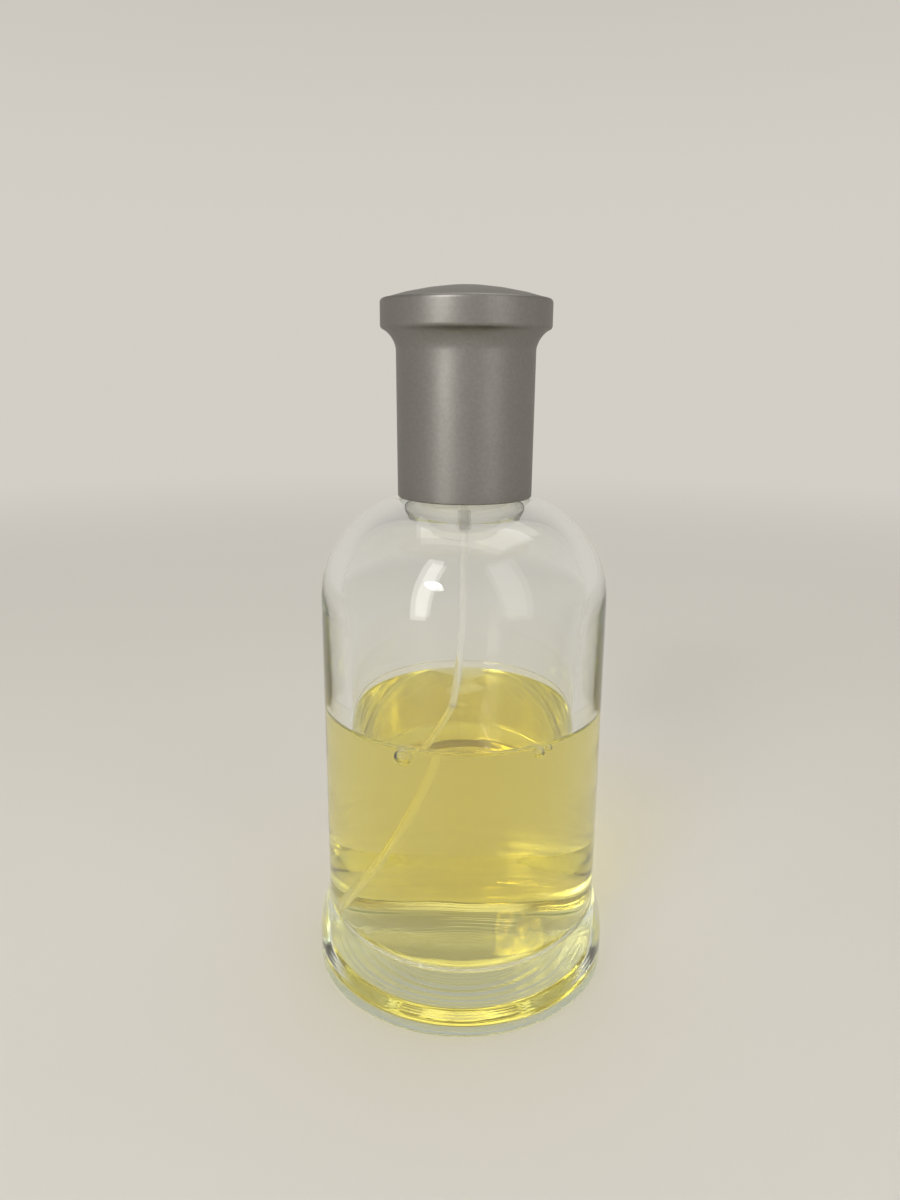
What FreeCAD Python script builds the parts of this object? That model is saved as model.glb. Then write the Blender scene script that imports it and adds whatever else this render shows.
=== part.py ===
import FreeCAD
import Part
import math
import os

# Round glass spray flask for aftershave, with a crimped fine-mist pump and a lift-off cap.
# Frame: origin at the middle of the base, +Z up the flask, spray nozzle towards -Y. Millimetres.

# Edges
mould_round = 0.3           # broken edges of the plastic pieces
sheet_round = 0.25          # broken edges of the thin metal pieces

# Glass flask
body_radius = 33.0          # outside of the straight wall
glass_wall = 6.0            # side wall and shoulder
shoulder_top = 116.65       # flat ring around the neck
shoulder_round = 23.4       # outside arc from the side wall to that ring
floor_height = 10.0         # inside floor above the table
floor_round = 5.0           # inside corner at the floor
foot_radius = 35.55         # widest part of the flared foot
foot_side = 11.05           # where the foot's side line meets its flare line
foot_top = 18.6             # crease between the flare and the straight wall
foot_flare_round = 20.0     # belly of the flare
foot_edge_round = 1.6       # lower edge
crease_round = 0.6
rest_ring_width = 7.0       # flat ring that the flask stands on
push_up = 2.0               # recess under the base
push_up_slope = 4.0         # width of the recess's sloping side
push_up_round = 3.0
neck_radius = 8.4
neck_bore = 6.5
neck_height = 10.35
neck_root_round = 0.8
bead_radius = 9.85          # bead that the pump is crimped under
bead_height = 4.0
bead_round = 0.9
bore_round = 1.5            # inside, where the bore opens into the shoulder

# Aftershave
fill_level = 65.0
liquid_gap = 0.05           # to the glass

# Dip tube
tube_radius = 0.95
tube_wall = 0.4
tube_lean = 27.0            # degrees off upright at the lower end
tube_bend = 150.0           # bend radius
tube_tip_to_wall = 4.2      # tip's centre to the glass wall
tube_tip_to_floor = 1.5     # tip's centre to the floor

# Pump
pump_gasket_thick = 0.9
pump_flange_thick = 1.0
pump_flange_inset = 0.25    # flange edge inside the bead's edge
chamber_bore = 3.3
chamber_wall = 1.3
chamber_floor = 12.3        # chamber floor below the pump flange's top
tail_radius = 1.5
tail_length = 3.6
tail_grip = 3.3             # length of tube inside the tail
tube_fit = 0.02             # tail bore over the tube
ball_radius = 1.0
ball_lift = 0.5             # how far the ball rises off its seat
ball_gap = 0.05             # ball to its seat at rest
pocket_gap = 0.2            # ball to the pocket wall
pocket_wall = 0.9
lip_height = 0.4            # snap-in lip over the ball
lip_overlap = 0.15
throat_radius = 0.65
stem_radius = 1.6
stem_bore = 0.6
stem_above = 8.9            # stem above the ferrule's top
stem_running = 0.05         # stem in its guide
stem_stop_radius = 2.7
stem_stop_height = 0.95
stem_tip = 0.8              # stem below the piston
stem_port_radius = 0.4      # cross hole above the closed lower end
seal_gap = 0.05             # piston in the chamber, stop under its gasket
piston_height = 2.4
piston_waist = 0.55         # depth of the groove between the piston's two lips
stem_gasket_thick = 0.7
turret_thick = 1.2
turret_spigot = 0.9
turret_nose_radius = 3.2
turret_nose_height = 2.4
spring_wire = 0.45          # wire diameter
spring_mean_radius = 2.45
spring_turns = 5.5
stroke = 3.6                # full press of the button

# Crimped ferrule and collar
ferrule_sheet = 0.45
ferrule_fit = 0.1           # over the bead and the nose
ferrule_tuck = 1.0          # length of the skirt turned in under the bead
ferrule_top_round = 1.0
collar_sheet = 0.7
collar_fit = 0.05           # over the ferrule
collar_to_shoulder = 0.5
collar_height_over_ferrule = 5.65
collar_lip_gap = 0.4        # lip to the button
collar_round = 0.8

# Spray button
button_radius = 6.7
button_height_over_collar = 10.8
button_sheet = 0.4          # metal shell
button_fit = 0.05           # core in the shell, nozzle in the core
button_dish = 0.7           # finger dish in the top
button_dish_radius = 5.2
button_dish_round = 1.5
button_edge_round = 0.9
core_wall = 1.1
core_post_radius = 2.9
core_top_thick = 2.2
press_clearance = 0.35      # left under the button when it is fully down
stem_socket_gap = 0.1       # over the stem's end
nozzle_drop = 5.2           # nozzle axis below the button's rim
nozzle_radius = 1.7
nozzle_depth = 2.4
nozzle_face = 0.5           # thickness of the nozzle's front
orifice_radius = 0.2
nozzle_window = 0.5         # shell opening over the nozzle, all round
channel_radius = 0.5
nozzle_block_half = 2.5     # half width of the block that carries the nozzle

# Cap
cap_skirt_radius = 15.15    # at the lower edge
cap_draft = 0.2             # how much wider the skirt is at its top
cap_to_shoulder = 0.4
cap_height = 45.5           # lower edge to the crown
cap_head_radius = 18.72
cap_head_band = 6.1         # straight side of the head, with both edge rounds
cap_cove = 5.0              # cove between skirt and head
cap_underside = 29.5        # degrees that the head's underside rises outwards
cap_head_low_round = 0.8
cap_head_top_round = 0.9
cap_dome_rise = 2.9
cap_dome_radius = 17.7
cap_wall = 1.4              # at the skirt's lower edge
cap_edge_round = 0.4
cap_room_radius = 13.0      # room over the button
cap_ceiling = 5.6           # crown to the room's ceiling
cap_room_round = 2.0
liner_fit = 0.05            # in the cap, and on the collar
liner_recess = 0.5          # lower edge inside the cap
liner_wall = 1.3
liner_band = 3.0            # the two bands that fit the cap's bore
liner_ledge_thick = 1.2
liner_ledge_overlap = 1.3   # ledge over the collar's top
liner_seat_gap = 0.1
grip_rib_count = 6
grip_rib_radius = 0.5
grip_rib_height = 12.0

# Heights and radii that follow from the sizes above
neck_top = shoulder_top + neck_height
bead_bottom = neck_top - bead_height
cavity_radius = body_radius - glass_wall
cavity_top = shoulder_top - glass_wall

gasket_top = neck_top + pump_gasket_thick
flange_top = gasket_top + pump_flange_thick
pump_flange_radius = bead_radius - pump_flange_inset
chamber_floor_z = flange_top - chamber_floor
chamber_outside = chamber_bore + chamber_wall

pocket_radius = ball_radius + pocket_gap
pocket_top = chamber_floor_z - lip_height
ball_centre_z = pocket_top - ball_lift - ball_gap - ball_radius
seat_z = ball_centre_z - (ball_radius + ball_gap) * math.sqrt(2.0)   # point of the 45 degree seat
throat_top = seat_z + throat_radius
pocket_outside = pocket_radius + pocket_wall
tube_stop_z = throat_top - lip_height
tail_bore = tube_radius + tube_fit
tail_bottom = tube_stop_z - tail_length
tube_top = tail_bottom + tail_grip

spigot_radius = chamber_bore - seal_gap
spigot_bottom = flange_top - turret_spigot
stem_gasket_bottom = spigot_bottom - stem_gasket_thick
stop_top = stem_gasket_bottom - seal_gap
piston_top = stop_top - stem_stop_height
piston_bottom = piston_top - piston_height
turret_top = flange_top + turret_thick
nose_top = turret_top + turret_nose_height

ferrule_top = turret_top + ferrule_sheet
ferrule_inside = bead_radius + ferrule_fit
ferrule_outside = ferrule_inside + ferrule_sheet
stem_top = ferrule_top + stem_above

collar_inside = ferrule_outside + collar_fit
collar_outside = collar_inside + collar_sheet
collar_bottom = shoulder_top + collar_to_shoulder
collar_top = ferrule_top + collar_height_over_ferrule

button_bottom = ferrule_top + stroke + press_clearance
button_rim = collar_top + button_height_over_collar
nozzle_z = button_rim - nozzle_drop
core_radius = button_radius - button_sheet - button_fit
core_top = button_rim - button_dish - button_sheet - button_fit

cap_bottom = shoulder_top - shoulder_round + cap_to_shoulder + math.sqrt(
    shoulder_round ** 2 - (cap_skirt_radius - (body_radius - shoulder_round)) ** 2)
cap_top = cap_bottom + cap_height
cap_head_top = cap_top - cap_dome_rise
cap_head_bottom = cap_head_top - cap_head_band
cap_bore = cap_skirt_radius - cap_wall
cap_ceiling_z = cap_top - cap_ceiling
liner_bottom = cap_bottom + liner_recess
liner_inside = collar_outside + liner_fit + grip_rib_radius
liner_outside = cap_bore - liner_fit
liner_ledge_bottom = collar_top + liner_seat_gap
liner_top = liner_ledge_bottom + liner_ledge_thick


def at(r, z):
    """Point of a half section: r from the axis, z up."""
    return FreeCAD.Vector(r, 0, z)


def tangent_arc(before, corner, after, radius):
    """Arc that rounds a corner between two straight lines."""
    back = (before - corner).normalize()
    on = (after - corner).normalize()
    half = back.getAngle(on) / 2.0
    reach = radius / math.tan(half)
    inward = (back + on).normalize()
    middle = corner + inward * (radius / math.sin(half) - radius)
    return Part.Arc(corner + back * reach, middle, corner + on * reach)


def section(corners):
    """Closed face from corners (r, z) or (r, z, round), joined by straight lines."""
    points = [at(c[0], c[1]) for c in corners]
    rounds = [c[2] if len(c) > 2 else 0.0 for c in corners]
    count = len(points)
    arcs = [tangent_arc(points[i - 1], points[i], points[(i + 1) % count], rounds[i]) if rounds[i] else None
            for i in range(count)]
    edges = []
    for i in range(count):
        following = (i + 1) % count
        start = arcs[i].EndPoint if arcs[i] else points[i]
        end = arcs[following].StartPoint if arcs[following] else points[following]
        if arcs[i]:
            edges.append(arcs[i].toShape())
        if start.distanceToPoint(end) > 1e-6:
            edges.append(Part.LineSegment(start, end).toShape())
    return Part.Face(Part.Wire(Part.__sortEdges__(edges)))


def turned(corners):
    """Solid of revolution about the flask's axis."""
    return section(corners).revolve(FreeCAD.Vector(0, 0, 0), FreeCAD.Vector(0, 0, 1), 360)


def ring(inside, outside, bottom, top):
    """Plain washer."""
    return turned([(inside, bottom), (outside, bottom), (outside, top), (inside, top)])


def rod(radius, start, end):
    """Round bar between two points."""
    along = end - start
    return Part.makeCylinder(radius, along.Length, start, along)


def glass_bottle():
    """Thick-walled flask: flared foot, straight side, round shoulder and a crimp neck."""
    ring_inside = foot_radius - foot_edge_round - rest_ring_width
    return turned([
        (0, push_up),
        (ring_inside - push_up_slope, push_up, push_up_round),
        (ring_inside, 0),
        (foot_radius, 0, foot_edge_round),
        (foot_radius, foot_side, foot_flare_round),
        (body_radius, foot_top, crease_round),
        (body_radius, shoulder_top, shoulder_round),
        (neck_radius, shoulder_top, neck_root_round),
        (neck_radius, bead_bottom),
        (bead_radius, bead_bottom, bead_round),
        (bead_radius, neck_top, bead_round),
        (neck_bore, neck_top, bead_round / 2),
        (neck_bore, cavity_top, bore_round),
        (cavity_radius, cavity_top, shoulder_round - glass_wall),
        (cavity_radius, floor_height, floor_round),
        (0, floor_height),
    ])


def tube_route():
    """Dip tube's centre line: straight down, one long bend, then leaning to the floor's corner."""
    lean = math.radians(tube_lean)
    tip = at(-(cavity_radius - tube_tip_to_wall), floor_height + tube_tip_to_floor)
    corner = at(0, tip.z - tip.x / math.tan(lean))
    bend = tangent_arc(at(0, tube_top), corner, tip, tube_bend)
    return [Part.LineSegment(at(0, tube_top), bend.StartPoint), bend, Part.LineSegment(bend.EndPoint, tip)]


def along_route(radius):
    """Round bar that follows the dip tube's centre line."""
    route = Part.Wire([piece.toShape() for piece in tube_route()])
    start = at(0, tube_top)
    profile = Part.Wire(Part.Circle(start, FreeCAD.Vector(0, 0, 1), radius).toShape())
    return route.makePipeShell([profile], True, False)


def dip_tube():
    """Clear tube from the pump's tail to the floor's corner."""
    return along_route(tube_radius).cut(along_route(tube_radius - tube_wall))


def aftershave_liquid(tube):
    """What is left in the flask, also inside the tube's open end."""
    edge = cavity_radius - liquid_gap
    bottom = floor_height + liquid_gap
    fill = turned([(0, bottom), (edge, bottom, floor_round - liquid_gap), (edge, fill_level), (0, fill_level)])
    return fill.cut(tube)


def neck_gasket():
    """Flat seal between the glass and the pump's flange."""
    return ring(chamber_outside + seal_gap, pump_flange_radius, neck_top, gasket_top)


def pump_housing():
    """Pump chamber with its flange, ball pocket and tail."""
    shell_bottom = chamber_floor_z - lip_height
    return turned([
        (tail_bore, tail_bottom),
        (tail_radius, tail_bottom, mould_round / 2),
        (tail_radius, tube_stop_z + tube_wall),
        (pocket_outside, throat_top + pocket_wall, mould_round),
        (pocket_outside, shell_bottom - chamber_wall),
        (chamber_outside, shell_bottom, 2 * mould_round),
        (chamber_outside, gasket_top),
        (pump_flange_radius, gasket_top),
        (pump_flange_radius, flange_top),
        (chamber_bore, flange_top),
        (chamber_bore, chamber_floor_z),
        (ball_radius - lip_overlap, chamber_floor_z),
        (ball_radius - lip_overlap, chamber_floor_z - lip_height / 2),
        (pocket_radius, pocket_top),
        (pocket_radius, seat_z + pocket_radius),
        (throat_radius, throat_top),
        (throat_radius, tube_stop_z),
        (tail_bore, tube_stop_z),
    ])


def inlet_ball():
    """Steel ball of the inlet valve, on its seat."""
    return Part.makeSphere(ball_radius, at(0, ball_centre_z))


def quarter_biarc(start, start_way, end, end_way):
    """Two arcs that leave start and reach end along the given directions."""
    across = end - start
    both = start_way + end_way
    bend = 2.0 * (1.0 - start_way.dot(end_way))
    reach = (-across.dot(both) + math.sqrt(across.dot(both) ** 2 + bend * across.dot(across))) / bend
    joint = (start + end + (start_way - end_way) * reach) * 0.5
    arcs = []
    for first, corner, last in ((start, start + start_way * reach, joint), (joint, end - end_way * reach, end)):
        weight = (last - first).Length / (2.0 * reach)
        middle = (first + corner * (2.0 * weight) + last) * (1.0 / (2.0 + 2.0 * weight))
        arcs.append(Part.Arc(first, middle, last).toShape())
    return arcs


def return_spring():
    """Coil spring between the chamber's floor and the piston."""
    bottom = chamber_floor_z + spring_wire / 2 + seal_gap
    top = piston_bottom - spring_wire / 2 - seal_gap
    quarters = round(spring_turns * 4)
    pitch = (top - bottom) / spring_turns

    def on_coil(quarter):
        turn = quarter * math.pi / 2
        place = FreeCAD.Vector(spring_mean_radius * math.cos(turn), spring_mean_radius * math.sin(turn),
                               bottom + pitch * quarter / 4)
        way = FreeCAD.Vector(-spring_mean_radius * math.sin(turn), spring_mean_radius * math.cos(turn),
                             pitch / (2 * math.pi))
        return place, way.normalize()

    edges = []
    for quarter in range(quarters):
        edges += quarter_biarc(*on_coil(quarter), *on_coil(quarter + 1))
    start, way = on_coil(0)
    profile = Part.Wire(Part.Circle(start, way, spring_wire / 2).toShape())
    steps = [on_coil(q / 4.0)[0] for q in range(quarters * 4)]
    least = min((a - b).Length for i, a in enumerate(steps) for b in steps[i + 8:])
    print("return_spring least gap between turns, mm:", round(least - spring_wire, 2))
    return Part.Wire(edges).makePipeShell([profile], True, False)


def piston():
    """Two-lipped sliding seal on the stem."""
    edge = chamber_bore - seal_gap
    third = piston_height / 3
    return turned([
        (stem_radius, piston_bottom),
        (edge, piston_bottom),
        (edge, piston_bottom + third / 2),
        (edge - piston_waist, piston_bottom + third),
        (edge - piston_waist, piston_top - third),
        (edge, piston_top - third / 2),
        (edge, piston_top),
        (stem_radius, piston_top),
    ])


def stem():
    """Hollow plunger stem with its stop and its cross hole."""
    bottom = piston_bottom - stem_tip
    shape = turned([
        (0, bottom),
        (stem_radius, bottom, mould_round),
        (stem_radius, piston_top),
        (stem_stop_radius, piston_top),
        (stem_stop_radius, stop_top),
        (stem_radius, stop_top),
        (stem_radius, stem_top, mould_round),
        (stem_bore, stem_top),
        (stem_bore, stop_top - stem_stop_height / 2),
        (0, stop_top - stem_stop_height / 2),
    ])
    port_z = stop_top - stem_stop_height / 2 + stem_port_radius
    reach = FreeCAD.Vector(stem_stop_radius * 2, 0, 0)
    middle = at(0, port_z)
    return shape.cut(rod(stem_port_radius, middle - reach, middle + reach))


def stem_gasket():
    """Soft ring that wipes the stem and stops its upward travel."""
    return ring(stem_radius + stem_running, spigot_radius, stem_gasket_bottom, spigot_bottom)


def turret():
    """Lid of the pump, with the nose that guides the stem."""
    guide = stem_radius + stem_running
    return turned([
        (guide, spigot_bottom),
        (spigot_radius, spigot_bottom),
        (spigot_radius, flange_top),
        (pump_flange_radius, flange_top),
        (pump_flange_radius, turret_top, mould_round),
        (turret_nose_radius, turret_top),
        (turret_nose_radius, nose_top, mould_round),
        (guide, nose_top, mould_round),
    ])


def crimp_ferrule():
    """Thin metal cup that clamps the pump to the bead, its skirt turned in under the bead."""
    inner_edge = turret_nose_radius + ferrule_fit
    knee = bead_bottom - ferrule_fit
    tuck = ferrule_tuck / math.sqrt(2.0)
    sheet_slant = ferrule_sheet * math.sqrt(2.0)
    return turned([
        (inner_edge, turret_top),
        (ferrule_inside, turret_top, ferrule_top_round - ferrule_sheet),
        (ferrule_inside, knee),
        (ferrule_inside - tuck, knee - tuck),
        (ferrule_inside - tuck, knee - tuck - sheet_slant),
        (ferrule_outside, knee - sheet_slant + ferrule_sheet),
        (ferrule_outside, ferrule_top, ferrule_top_round),
        (inner_edge, ferrule_top),
    ])


def collar():
    """Bright sleeve over the ferrule, with an inward lip around the button."""
    lip = button_radius + collar_lip_gap
    under_lip = collar_top - collar_sheet
    return turned([
        (collar_inside, collar_bottom),
        (collar_outside, collar_bottom, sheet_round),
        (collar_outside, collar_top, collar_round),
        (lip, collar_top, sheet_round),
        (lip, under_lip),
        (collar_inside, under_lip, collar_round - sheet_round),
    ])


def nozzle_bore(radius, depth):
    """Bore from the button's front towards its axis."""
    front = FreeCAD.Vector(0, -button_radius * 1.5, nozzle_z)
    return rod(radius, front, FreeCAD.Vector(0, -(core_radius - depth), nozzle_z))


def button_shell():
    """Drawn metal skin of the button, with the window for the nozzle."""
    inside = button_radius - button_sheet
    dish_side = button_radius - button_dish_radius
    shell = turned([
        (inside, button_bottom),
        (button_radius, button_bottom),
        (button_radius, button_rim, button_edge_round),
        (button_dish_radius, button_rim, dish_side / 4),
        (button_dish_radius - 2 * button_dish, button_rim - button_dish, button_dish_round),
        (0, button_rim - button_dish),
        (0, button_rim - button_dish - button_sheet),
        (inside, button_rim - button_dish - button_sheet, sheet_round),
    ])
    return shell.cut(nozzle_bore(nozzle_radius + nozzle_window, nozzle_depth))


def spray_button():
    """Moulded core: stem socket, nozzle block and the channel between them."""
    socket = stem_radius + stem_running
    socket_top = stem_top + stem_socket_gap
    post_bottom = nose_top + stroke + press_clearance
    cup = turned([
        (socket, post_bottom),
        (core_post_radius, post_bottom),
        (core_post_radius, core_top - core_top_thick),
        (core_radius - core_wall, core_top - core_top_thick),
        (core_radius - core_wall, button_bottom),
        (core_radius, button_bottom),
        (core_radius, core_top, mould_round),
        (0, core_top),
        (0, socket_top),
        (socket, socket_top),
    ])
    block_bottom = nozzle_z - nozzle_block_half
    block_top = core_top - core_top_thick / 2
    block = Part.makeBox(2 * nozzle_block_half, core_radius - socket, block_top - block_bottom,
                         FreeCAD.Vector(-nozzle_block_half, -core_radius, block_bottom))
    core = Part.makeCylinder(core_radius, core_top - button_bottom, at(0, button_bottom))
    cup = cup.fuse(block.common(core)).removeSplitter()
    cup = cup.cut(nozzle_bore(nozzle_radius + button_fit, nozzle_depth))
    channel_end = FreeCAD.Vector(0, -(core_radius - nozzle_depth) - channel_radius, nozzle_z)
    return cup.cut(rod(channel_radius, at(0, nozzle_z), channel_end)).cut(rod(channel_radius, at(0, socket_top),
                                                                          at(0, nozzle_z + channel_radius)))


def nozzle_insert():
    """Cup-shaped swirl nozzle with its orifice."""
    depth = nozzle_depth - button_fit
    back = -(core_radius - nozzle_depth) - button_fit
    front = back - depth
    cup = rod(nozzle_radius, FreeCAD.Vector(0, back, nozzle_z), FreeCAD.Vector(0, front, nozzle_z))
    hollow = rod(nozzle_radius / 2, FreeCAD.Vector(0, back, nozzle_z),
                 FreeCAD.Vector(0, front + nozzle_face, nozzle_z))
    orifice = rod(orifice_radius, FreeCAD.Vector(0, back, nozzle_z), FreeCAD.Vector(0, front * 2, nozzle_z))
    return cup.cut(hollow).cut(orifice)


def cap_shell():
    """Satin metal cap: plain skirt, cove, broad head and a low crown."""
    skirt_top = cap_skirt_radius + cap_draft
    skirt_end = cap_head_bottom - (cap_head_radius - skirt_top) * math.tan(math.radians(cap_underside))
    body = turned([
        (cap_bore, cap_bottom, cap_edge_round / 2),
        (cap_skirt_radius, cap_bottom, cap_edge_round),
        (skirt_top, skirt_end, cap_cove),
        (cap_head_radius, cap_head_bottom, cap_head_low_round),
        (cap_head_radius, cap_head_top, cap_head_top_round),
        (0, cap_head_top),
        (0, cap_ceiling_z),
        (cap_room_radius, cap_ceiling_z, cap_room_round),
        (cap_room_radius, liner_top),
        (cap_bore, liner_top),
    ])
    crown_edge = at(cap_dome_radius, cap_head_top)
    crown_top = at(0, cap_top)
    sphere = (cap_dome_radius ** 2 + cap_dome_rise ** 2) / (2 * cap_dome_rise)
    half_way = cap_dome_radius / 2
    crown_middle = at(half_way, cap_top - sphere + math.sqrt(sphere ** 2 - half_way ** 2))
    root = at(0, cap_head_top - cap_head_top_round)
    edges = [Part.Arc(crown_top, crown_middle, crown_edge).toShape(),
             Part.LineSegment(crown_edge, at(cap_dome_radius, root.z)).toShape(),
             Part.LineSegment(at(cap_dome_radius, root.z), root).toShape(),
             Part.LineSegment(root, crown_top).toShape()]
    crown = Part.Face(Part.Wire(edges)).revolve(FreeCAD.Vector(0, 0, 0), FreeCAD.Vector(0, 0, 1), 360)
    return body.fuse(crown).removeSplitter()


def cap_liner():
    """Plastic sleeve in the cap that grips the collar with ribs and stops on its top."""
    waist = liner_inside + liner_wall
    ledge_edge = collar_outside - liner_ledge_overlap
    sleeve = turned([
        (liner_inside, liner_bottom, mould_round),
        (liner_outside, liner_bottom, mould_round),
        (liner_outside, liner_bottom + liner_band),
        (waist, liner_bottom + liner_band + liner_outside - waist),
        (waist, liner_top - liner_band - liner_outside + waist),
        (liner_outside, liner_top - liner_band),
        (liner_outside, liner_top - liner_fit),
        (ledge_edge, liner_top - liner_fit),
        (ledge_edge, liner_ledge_bottom),
        (liner_inside, liner_ledge_bottom),
    ])
    rib_bottom = liner_bottom + liner_band
    for number in range(grip_rib_count):
        turn = 2 * math.pi * number / grip_rib_count
        rib = Part.makeCylinder(grip_rib_radius, grip_rib_height,
                                FreeCAD.Vector(liner_inside * math.cos(turn), liner_inside * math.sin(turn),
                                               rib_bottom))
        sleeve = sleeve.fuse(rib)
    return sleeve.removeSplitter()


def main():
    """Builds every piece and writes one file for each."""
    os.makedirs("parts", exist_ok=True)
    tube = dip_tube()
    pieces = {
        "glass_bottle": glass_bottle(),
        "aftershave_liquid": aftershave_liquid(tube),
        "dip_tube": tube,
        "neck_gasket": neck_gasket(),
        "pump_housing": pump_housing(),
        "inlet_ball": inlet_ball(),
        "return_spring": return_spring(),
        "piston": piston(),
        "stem": stem(),
        "stem_gasket": stem_gasket(),
        "turret": turret(),
        "crimp_ferrule": crimp_ferrule(),
        "collar": collar(),
        "spray_button": spray_button(),
        "button_shell": button_shell(),
        "nozzle_insert": nozzle_insert(),
        "cap_shell": cap_shell(),
        "cap_liner": cap_liner(),
    }
    for name, shape in pieces.items():
        print(name, "valid", shape.isValid(), "solids", len(shape.Solids), "volume", round(shape.Volume, 2))
        shape.exportStep(os.path.join("parts", name + ".step"))


main()
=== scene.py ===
"""Looks of a round glass spray flask for aftershave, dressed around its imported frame.

Sizes of the pieces are in millimetres, their angles in degrees and their meshes in metres. The flask stands
on Z = 0 with its axis on Z, the spray nozzle points to -Y and the dip tube leans to -X.
"""
import logging
import math
from dataclasses import dataclass
from enum import Enum
from typing import Optional, Sequence, Union

import bmesh
import bpy
from mathutils import Matrix, Vector, noise


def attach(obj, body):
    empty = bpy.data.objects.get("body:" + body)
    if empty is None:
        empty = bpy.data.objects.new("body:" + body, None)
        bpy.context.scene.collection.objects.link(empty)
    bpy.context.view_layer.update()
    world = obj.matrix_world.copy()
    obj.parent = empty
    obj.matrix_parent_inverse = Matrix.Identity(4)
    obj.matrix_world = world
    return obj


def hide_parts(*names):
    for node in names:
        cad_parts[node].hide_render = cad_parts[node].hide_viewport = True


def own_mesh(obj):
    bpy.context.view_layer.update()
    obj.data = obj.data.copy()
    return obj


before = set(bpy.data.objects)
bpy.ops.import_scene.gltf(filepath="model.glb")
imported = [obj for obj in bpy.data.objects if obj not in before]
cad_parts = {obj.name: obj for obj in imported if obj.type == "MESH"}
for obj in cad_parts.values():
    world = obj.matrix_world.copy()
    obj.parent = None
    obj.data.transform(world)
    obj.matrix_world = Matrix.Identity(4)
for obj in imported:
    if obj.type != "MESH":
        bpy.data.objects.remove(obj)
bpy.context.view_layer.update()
LOG = logging.getLogger("flask")

# Metres in a millimetre, and metres between two points that count as one
MM = 0.001
MERGE = 1e-6
# Edges that turn more than this are shaded as edges
SHARP = math.radians(32.0)
# On a rounded corner: turn of one facet, fewest facets, and the most of a straight run that it takes
ARC_STEP = math.radians(6.0)
ARC_FACETS = 3
ARC_SHARE = 0.998
# Height of the aftershave, which the filling and the tube's two finishes share
FILL_LEVEL = 65.0

Colour = tuple[float, float, float, float]
Corner = Union[tuple[float, float], tuple[float, float, float]]
Setting = Union[float, Colour, tuple[float, float, float], bpy.types.NodeSocket]


class Body(Enum):
    """Bodies of the frame that new pieces ride on."""

    BOTTLE = "bottle"
    CAP = "cap"


class Slot(Enum):
    """Material slots of the record."""

    GLASS = "clear_glass"
    FILLING = "aftershave"
    TUBE = "clear_plastic"
    NATURAL = "natural_plastic"
    WHITE = "white_plastic"
    GREY = "grey_plastic"
    SEAL = "seal_rubber"
    STEEL = "bright_steel"
    ALUMINIUM = "bright_aluminium"
    SATIN = "satin_metal"


class Effect(Enum):
    """Surface effects that several finishes share."""

    GRAIN = "fine_grain"
    MARKS = "handling_marks"
    DRIFT = "tone_drift"


class LampShape(Enum):
    """Outlines of a studio lamp."""

    RECTANGLE = "RECTANGLE"
    ELLIPSE = "ELLIPSE"


class Tree:
    """Adds and links the nodes of one shader tree."""

    def __init__(self, tree: bpy.types.NodeTree) -> None:
        """Takes over a tree and empties it.

        Args:
            tree: The tree.
        """
        self.tree = tree
        tree.nodes.clear()

    def node(self, kind: str, inputs: Optional[dict[Union[str, int], Setting]] = None,
             **settings: object) -> bpy.types.Node:
        """Adds one node.

        Args:
            kind: Blender's type name of the node.
            inputs: Value or source socket for each input, by name or number.
            **settings: Properties of the node itself.

        Returns:
            The new node.
        """
        made = self.tree.nodes.new(kind)
        for name, value in settings.items():
            setattr(made, name, value)
        for name, value in (inputs or {}).items():
            if isinstance(value, bpy.types.NodeSocket):
                self.tree.links.new(value, made.inputs[name])
            else:
                made.inputs[name].default_value = value
        return made

    def effect(self, effect: Effect, inputs: dict[str, Setting]) -> bpy.types.Node:
        """Places a shared effect.

        Args:
            effect: Which effect.
            inputs: Its values in this finish.

        Returns:
            The group node.
        """
        return self.node("ShaderNodeGroup", inputs, node_tree=effect_group(effect))


def new_group(effect: Effect, inputs: dict[str, Setting],
              outputs: dict[str, str]) -> tuple[Tree, bpy.types.Node]:
    """Starts a shader node group.

    Args:
        effect: The effect, which gives the group's name.
        inputs: Name and first value of each input.
        outputs: Name and socket type of each output.

    Returns:
        The group's tree and its input node.
    """
    group = bpy.data.node_groups.new(effect.value, "ShaderNodeTree")
    tree = Tree(group)
    for name, value in inputs.items():
        kind = "NodeSocketFloat"
        if isinstance(value, tuple):
            kind = "NodeSocketColor" if len(value) == 4 else "NodeSocketVector"
        socket = group.interface.new_socket(name, in_out="INPUT", socket_type=kind)
        socket.default_value = value
    for name, kind in outputs.items():
        group.interface.new_socket(name, in_out="OUTPUT", socket_type=kind)
    return tree, tree.node("NodeGroupInput")


def fine_grain() -> bpy.types.NodeTree:
    """Fine blasted or brushed grain, as a bump height; Spread stretches it along the axes.

    Returns:
        The group.
    """
    tree, given = new_group(Effect.GRAIN, {"Scale": 2500.0, "Spread": (1.0, 1.0, 1.0)},
                            {"Height": "NodeSocketFloat"})
    where = tree.node("ShaderNodeTexCoord")
    spread = tree.node("ShaderNodeVectorMath", {
        0: where.outputs["Object"], 1: given.outputs["Spread"]}, operation="MULTIPLY")
    fine = tree.node("ShaderNodeTexNoise", {
        "Vector": spread.outputs[0], "Scale": given.outputs["Scale"], "Detail": 4.0, "Roughness": 0.65})
    tree.node("NodeGroupOutput", {"Height": fine.outputs[0]})
    return tree.tree


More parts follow.
